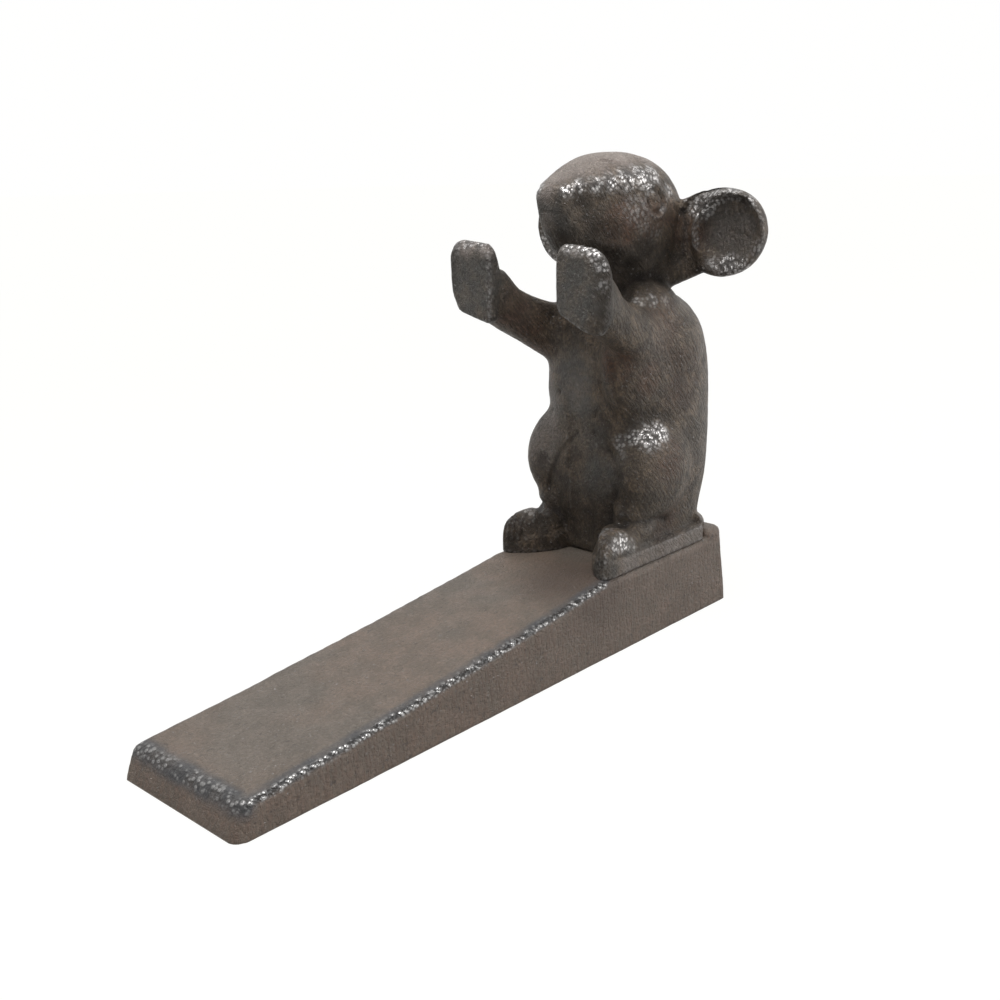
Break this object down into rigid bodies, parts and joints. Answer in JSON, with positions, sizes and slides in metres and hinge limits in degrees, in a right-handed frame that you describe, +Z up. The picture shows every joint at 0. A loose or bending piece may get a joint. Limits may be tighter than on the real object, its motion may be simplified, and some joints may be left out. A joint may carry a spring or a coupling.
{
  "type": "door wedge",
  "caption": "Cast iron door wedge: a long sloping wedge with a standing mouse figure that holds both palms up to the door.",
  "frame": {"origin": "middle of the whole part's box, on the floor plane that the wedge's rim rests on", "axes": "+X along the wedge from its thin end to its thick end, +Y across it, +Z up"},
  "size_m": [0.175, 0.0752, 0.1275],
  "materials": {
    "wedge_iron": "rough sand casting with a thin brown lacquer",
    "mouse_iron": "fine sand casting with a thin dark brown lacquer, glossy on the high spots",
    "zinc_washer": "zinc plated steel",
    "zinc_steel": "zinc plated steel"
  },
  "bodies": {
    "root": {"wedge": "wedge_iron", "mouse": "mouse_iron", "washer": "zinc_washer", "screw": "zinc_steel"}
  },
  "joints": []
}
